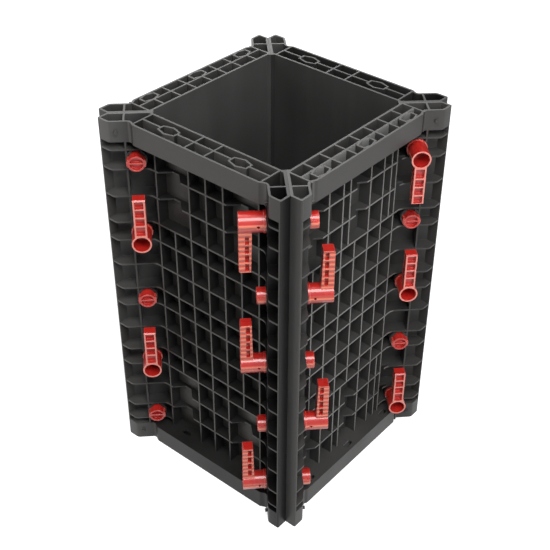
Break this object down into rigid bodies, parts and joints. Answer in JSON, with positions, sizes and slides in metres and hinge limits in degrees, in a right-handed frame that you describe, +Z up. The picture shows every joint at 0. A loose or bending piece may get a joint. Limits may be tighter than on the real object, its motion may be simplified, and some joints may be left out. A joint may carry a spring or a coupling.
{
  "type": "column formwork",
  "caption": "Reusable plastic column form of ribbed panels with framed ends, locked at the corners by quarter-turn lever handles.",
  "frame": {"origin": "middle of the column at floor level", "axes": "+Z up along the column, +X and +Y square to the panels"},
  "size_m": [0.486, 0.501, 0.75],
  "materials": {
    "panel_plastic": "satin",
    "handle_plastic": "gloss"
  },
  "bodies": {
    "form": {"panel_front": "panel_plastic", "panel_right": "panel_plastic", "panel_back": "panel_plastic", "panel_left": "panel_plastic"},
    "handle_front_right_1": {"handle_front_right_1": "handle_plastic"},
    "handle_front_right_2": {"handle_front_right_2": "handle_plastic"},
    "handle_front_right_3": {"handle_front_right_3": "handle_plastic"},
    "handle_front_right_4": {"handle_front_right_4": "handle_plastic"},
    "handle_front_right_5": {"handle_front_right_5": "handle_plastic"},
    "handle_right_back_1": {"handle_right_back_1": "handle_plastic"},
    "handle_right_back_2": {"handle_right_back_2": "handle_plastic"},
    "handle_right_back_3": {"handle_right_back_3": "handle_plastic"},
    "handle_right_back_4": {"handle_right_back_4": "handle_plastic"},
    "handle_right_back_5": {"handle_right_back_5": "handle_plastic"},
    "handle_back_left_1": {"handle_back_left_1": "handle_plastic"},
    "handle_back_left_2": {"handle_back_left_2": "handle_plastic"},
    "handle_back_left_3": {"handle_back_left_3": "handle_plastic"},
    "handle_back_left_4": {"handle_back_left_4": "handle_plastic"},
    "handle_back_left_5": {"handle_back_left_5": "handle_plastic"},
    "handle_left_front_1": {"handle_left_front_1": "handle_plastic"},
    "handle_left_front_2": {"handle_left_front_2": "handle_plastic"},
    "handle_left_front_3": {"handle_left_front_3": "handle_plastic"},
    "handle_left_front_4": {"handle_left_front_4": "handle_plastic"},
    "handle_left_front_5": {"handle_left_front_5": "handle_plastic"}
  },
  "joints": [
    {"name": "turn_front_right_1", "type": "hinge", "parent": "form", "child": "handle_front_right_1", "pos_m": [0.17374, -0.18124, 0.075], "axis": [0.7071, 0.7071, 0], "range_deg": [0, 90]},
    {"name": "turn_front_right_2", "type": "hinge", "parent": "form", "child": "handle_front_right_2", "pos_m": [0.17374, -0.18124, 0.225], "axis": [0.7071, 0.7071, 0], "range_deg": [0, 90]},
    {"name": "turn_front_right_3", "type": "hinge", "parent": "form", "child": "handle_front_right_3", "pos_m": [0.17374, -0.18124, 0.375], "axis": [0.7071, 0.7071, 0], "range_deg": [0, 90]},
    {"name": "turn_front_right_4", "type": "hinge", "parent": "form", "child": "handle_front_right_4", "pos_m": [0.17374, -0.18124, 0.525], "axis": [0.7071, 0.7071, 0], "range_deg": [0, 90]},
    {"name": "turn_front_right_5", "type": "hinge", "parent": "form", "child": "handle_front_right_5", "pos_m": [0.17374, -0.18124, 0.675], "axis": [-0.7071, -0.7071, 0], "range_deg": [0, 90]},
    {"name": "turn_right_back_1", "type": "hinge", "parent": "form", "child": "handle_right_back_1", "pos_m": [0.17374, 0.18124, 0.075], "axis": [-0.7071, 0.7071, 0], "range_deg": [0, 90]},
    {"name": "turn_right_back_2", "type": "hinge", "parent": "form", "child": "handle_right_back_2", "pos_m": [0.17374, 0.18124, 0.225], "axis": [-0.7071, 0.7071, 0], "range_deg": [0, 90]},
    {"name": "turn_right_back_3", "type": "hinge", "parent": "form", "child": "handle_right_back_3", "pos_m": [0.17374, 0.18124, 0.375], "axis": [-0.7071, 0.7071, 0], "range_deg": [0, 90]},
    {"name": "turn_right_back_4", "type": "hinge", "parent": "form", "child": "handle_right_back_4", "pos_m": [0.17374, 0.18124, 0.525], "axis": [-0.7071, 0.7071, 0], "range_deg": [0, 90]},
    {"name": "turn_right_back_5", "type": "hinge", "parent": "form", "child": "handle_right_back_5", "pos_m": [0.17374, 0.18124, 0.675], "axis": [0.7071, -0.7071, 0], "range_deg": [0, 90]},
    {"name": "turn_back_left_1", "type": "hinge", "parent": "form", "child": "handle_back_left_1", "pos_m": [-0.17374, 0.18124, 0.075], "axis": [-0.7071, -0.7071, 0], "range_deg": [0, 90]},
    {"name": "turn_back_left_2", "type": "hinge", "parent": "form", "child": "handle_back_left_2", "pos_m": [-0.17374, 0.18124, 0.225], "axis": [-0.7071, -0.7071, 0], "range_deg": [0, 90]},
    {"name": "turn_back_left_3", "type": "hinge", "parent": "form", "child": "handle_back_left_3", "pos_m": [-0.17374, 0.18124, 0.375], "axis": [-0.7071, -0.7071, 0], "range_deg": [0, 90]},
    {"name": "turn_back_left_4", "type": "hinge", "parent": "form", "child": "handle_back_left_4", "pos_m": [-0.17374, 0.18124, 0.525], "axis": [-0.7071, -0.7071, 0], "range_deg": [0, 90]},
    {"name": "turn_back_left_5", "type": "hinge", "parent": "form", "child": "handle_back_left_5", "pos_m": [-0.17374, 0.18124, 0.675], "axis": [0.7071, 0.7071, 0], "range_deg": [0, 90]},
    {"name": "turn_left_front_1", "type": "hinge", "parent": "form", "child": "handle_left_front_1", "pos_m": [-0.17374, -0.18124, 0.075], "axis": [0.7071, -0.7071, 0], "range_deg": [0, 90]},
    {"name": "turn_left_front_2", "type": "hinge", "parent": "form", "child": "handle_left_front_2", "pos_m": [-0.17374, -0.18124, 0.225], "axis": [0.7071, -0.7071, 0], "range_deg": [0, 90]},
    {"name": "turn_left_front_3", "type": "hinge", "parent": "form", "child": "handle_left_front_3", "pos_m": [-0.17374, -0.18124, 0.375], "axis": [0.7071, -0.7071, 0], "range_deg": [0, 90]},
    {"name": "turn_left_front_4", "type": "hinge", "parent": "form", "child": "handle_left_front_4", "pos_m": [-0.17374, -0.18124, 0.525], "axis": [0.7071, -0.7071, 0], "range_deg": [0, 90]},
    {"name": "turn_left_front_5", "type": "hinge", "parent": "form", "child": "handle_left_front_5", "pos_m": [-0.17374, -0.18124, 0.675], "axis": [-0.7071, 0.7071, 0], "range_deg": [0, 90]}
  ]
}
